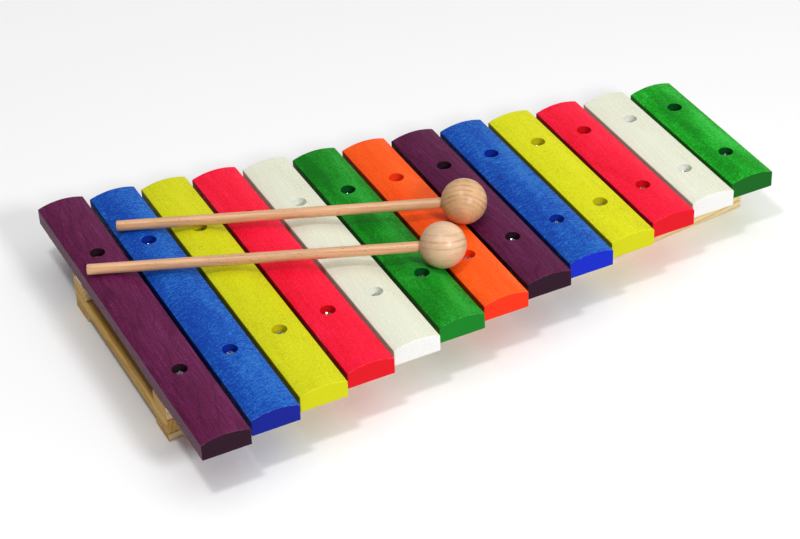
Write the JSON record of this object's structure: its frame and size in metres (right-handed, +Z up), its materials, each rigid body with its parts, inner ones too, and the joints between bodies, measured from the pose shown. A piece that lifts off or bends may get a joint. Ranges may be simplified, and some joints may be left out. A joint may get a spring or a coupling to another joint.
{
  "type": "xylophone",
  "caption": "Child's wooden xylophone: stained bars of falling length screwed over felt to a tapering pine frame, with ball-headed wooden mallets lying on them.",
  "frame": {"origin": "on the surface the frame stands on, under the middle of the instrument's box", "axes": "+X from the longest bar to the shortest, +Y across the frame to the side away from the player, +Z up"},
  "size_m": [0.4188, 0.262, 0.0674],
  "materials": {
    "stain_purple": "dark plum stain, fine straight grain showing, satin",
    "stain_blue": "blue stain, strongly mottled, satin",
    "stain_yellow": "yellow stain with small dark flecks, satin",
    "stain_red": "red stain, even, satin",
    "stain_white": "bare pale wood under a clear coat, satin",
    "stain_green": "green stain, mottled, satin",
    "stain_orange": "orange stain, even, satin",
    "pine": "planed pale pine, unfinished",
    "beech": "turned and sanded beech, thin clear coat",
    "felt": "white pressed felt strip",
    "plated_steel": "bright plated cross-recess wood screw"
  },
  "bodies": {
    "frame": {"rail_near": "pine", "rail_far": "pine", "cross_piece_left": "pine", "cross_piece_right": "pine", "felt_near": "felt", "felt_far": "felt", "screw_01_near": "plated_steel", "screw_01_far": "plated_steel", "screw_02_near": "plated_steel", "screw_02_far": "plated_steel", "screw_03_near": "plated_steel", "screw_03_far": "plated_steel", "screw_04_near": "plated_steel", "screw_04_far": "plated_steel", "screw_05_near": "plated_steel", "screw_05_far": "plated_steel", "screw_06_near": "plated_steel", "screw_06_far": "plated_steel", "screw_07_near": "plated_steel", "screw_07_far": "plated_steel", "screw_08_near": "plated_steel", "screw_08_far": "plated_steel", "screw_09_near": "plated_steel", "screw_09_far": "plated_steel", "screw_10_near": "plated_steel", "screw_10_far": "plated_steel", "screw_11_near": "plated_steel", "screw_11_far": "plated_steel", "screw_12_near": "plated_steel", "screw_12_far": "plated_steel", "screw_13_near": "plated_steel", "screw_13_far": "plated_steel"},
    "bar_01": {"bar_01_purple": "stain_purple"},
    "bar_02": {"bar_02_blue": "stain_blue"},
    "bar_03": {"bar_03_yellow": "stain_yellow"},
    "bar_04": {"bar_04_red": "stain_red"},
    "bar_05": {"bar_05_white": "stain_white"},
    "bar_06": {"bar_06_green": "stain_green"},
    "bar_07": {"bar_07_orange": "stain_orange"},
    "bar_08": {"bar_08_purple": "stain_purple"},
    "bar_09": {"bar_09_blue": "stain_blue"},
    "bar_10": {"bar_10_yellow": "stain_yellow"},
    "bar_11": {"bar_11_red": "stain_red"},
    "bar_12": {"bar_12_white": "stain_white"},
    "bar_13": {"bar_13_green": "stain_green"},
    "mallet_1": {"mallet_1_head": "beech", "mallet_1_shaft": "beech"},
    "mallet_2": {"mallet_2_head": "beech", "mallet_2_shaft": "beech"}
  },
  "joints": [
    {"name": "bar_01_press", "type": "slide", "parent": "frame", "child": "bar_01", "axis": [0, 0, 1], "range_m": [-0.00025, 0], "stiffness_N_per_m": 4000, "springref_m": 0.0003},
    {"name": "bar_02_press", "type": "slide", "parent": "frame", "child": "bar_02", "axis": [0, 0, 1], "range_m": [-0.00025, 0], "stiffness_N_per_m": 4000, "springref_m": 0.0003},
    {"name": "bar_03_press", "type": "slide", "parent": "frame", "child": "bar_03", "axis": [0, 0, 1], "range_m": [-0.00025, 0], "stiffness_N_per_m": 4000, "springref_m": 0.0003},
    {"name": "bar_04_press", "type": "slide", "parent": "frame", "child": "bar_04", "axis": [0, 0, 1], "range_m": [-0.00025, 0], "stiffness_N_per_m": 4000, "springref_m": 0.0003},
    {"name": "bar_05_press", "type": "slide", "parent": "frame", "child": "bar_05", "axis": [0, 0, 1], "range_m": [-0.00025, 0], "stiffness_N_per_m": 4000, "springref_m": 0.0003},
    {"name": "bar_06_press", "type": "slide", "parent": "frame", "child": "bar_06", "axis": [0, 0, 1], "range_m": [-0.00025, 0], "stiffness_N_per_m": 4000, "springref_m": 0.0003},
    {"name": "bar_07_press", "type": "slide", "parent": "frame", "child": "bar_07", "axis": [0, 0, 1], "range_m": [-0.00025, 0], "stiffness_N_per_m": 4000, "springref_m": 0.0003},
    {"name": "bar_08_press", "type": "slide", "parent": "frame", "child": "bar_08", "axis": [0, 0, 1], "range_m": [-0.00025, 0], "stiffness_N_per_m": 4000, "springref_m": 0.0003},
    {"name": "bar_09_press", "type": "slide", "parent": "frame", "child": "bar_09", "axis": [0, 0, 1], "range_m": [-0.00025, 0], "stiffness_N_per_m": 4000, "springref_m": 0.0003},
    {"name": "bar_10_press", "type": "slide", "parent": "frame", "child": "bar_10", "axis": [0, 0, 1], "range_m": [-0.00025, 0], "stiffness_N_per_m": 4000, "springref_m": 0.0003},
    {"name": "bar_11_press", "type": "slide", "parent": "frame", "child": "bar_11", "axis": [0, 0, 1], "range_m": [-0.00025, 0], "stiffness_N_per_m": 4000, "springref_m": 0.0003},
    {"name": "bar_12_press", "type": "slide", "parent": "frame", "child": "bar_12", "axis": [0, 0, 1], "range_m": [-0.00025, 0], "stiffness_N_per_m": 4000, "springref_m": 0.0003},
    {"name": "bar_13_press", "type": "slide", "parent": "frame", "child": "bar_13", "axis": [0, 0, 1], "range_m": [-0.00025, 0], "stiffness_N_per_m": 4000, "springref_m": 0.0003},
    {"name": "mallet_1_lift", "type": "slide", "parent": "frame", "child": "mallet_1", "axis": [0, 0, 1], "range_m": [0, 0.15]},
    {"name": "mallet_2_lift", "type": "slide", "parent": "frame", "child": "mallet_2", "axis": [0, 0, 1], "range_m": [0, 0.15]}
  ]
}
